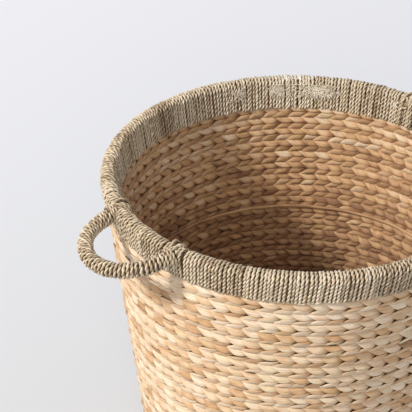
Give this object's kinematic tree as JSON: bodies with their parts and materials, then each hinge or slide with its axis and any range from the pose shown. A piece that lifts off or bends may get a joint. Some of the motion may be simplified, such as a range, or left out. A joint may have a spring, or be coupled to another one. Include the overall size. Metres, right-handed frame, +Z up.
{
  "type": "storage basket",
  "caption": "Round tapered open storage basket of twined flat plant strands, with a thick cord-wrapped rim and a cord-wrapped loop handle on each side.",
  "frame": {"origin": "centre of the foot border's underside, on the surface that the basket stands on", "axes": "+Z up through the open mouth; +X and -X through the two handles; +Y towards the plain back"},
  "size_m": [0.5096, 0.4, 0.37],
  "materials": {
    "flat_strand": "matt dried leaf strands with a faint natural sheen, straw to tan",
    "twisted_cord": "matt two-ply twisted seagrass cord, greenish-grey beige",
    "cane": "plain split and round cane"
  },
  "bodies": {
    "root": {"base_centre": "flat_strand", "base_course_1": "flat_strand", "base_course_2": "flat_strand", "base_course_3": "flat_strand", "base_course_4": "flat_strand", "base_course_5": "flat_strand", "base_course_6": "flat_strand", "base_course_7": "flat_strand", "base_course_8": "flat_strand", "base_spokes": "cane", "foot_border": "flat_strand", "handle_core_left": "cane", "handle_core_right": "cane", "handle_lashing_left_back": "twisted_cord", "handle_lashing_left_front": "twisted_cord", "handle_lashing_right_back": "twisted_cord", "handle_lashing_right_front": "twisted_cord", "handle_wrap_left": "twisted_cord", "handle_wrap_right": "twisted_cord", "inner_hoop": "twisted_cord", "rim_hidden_course": "flat_strand", "rim_hoop": "cane", "rim_wrap_back": "twisted_cord", "rim_wrap_front": "twisted_cord", "rim_wrap_left": "twisted_cord", "rim_wrap_right": "twisted_cord", "wall_course_01": "flat_strand", "wall_course_02": "flat_strand", "wall_course_03": "flat_strand", "wall_course_04": "flat_strand", "wall_course_05": "flat_strand", "wall_course_06": "flat_strand", "wall_course_07": "flat_strand", "wall_course_08": "flat_strand", "wall_course_09": "flat_strand", "wall_course_10": "flat_strand", "wall_course_11": "flat_strand", "wall_course_12": "flat_strand", "wall_course_13": "flat_strand", "wall_course_14": "flat_strand", "wall_course_15": "flat_strand", "wall_course_16": "flat_strand", "wall_course_17": "flat_strand", "wall_course_18": "flat_strand", "wall_course_19": "flat_strand", "wall_course_20": "flat_strand", "wall_course_21": "flat_strand", "wall_course_22": "flat_strand", "wall_course_23": "flat_strand", "wall_course_24": "flat_strand", "wall_stakes": "cane"}
  },
  "joints": []
}
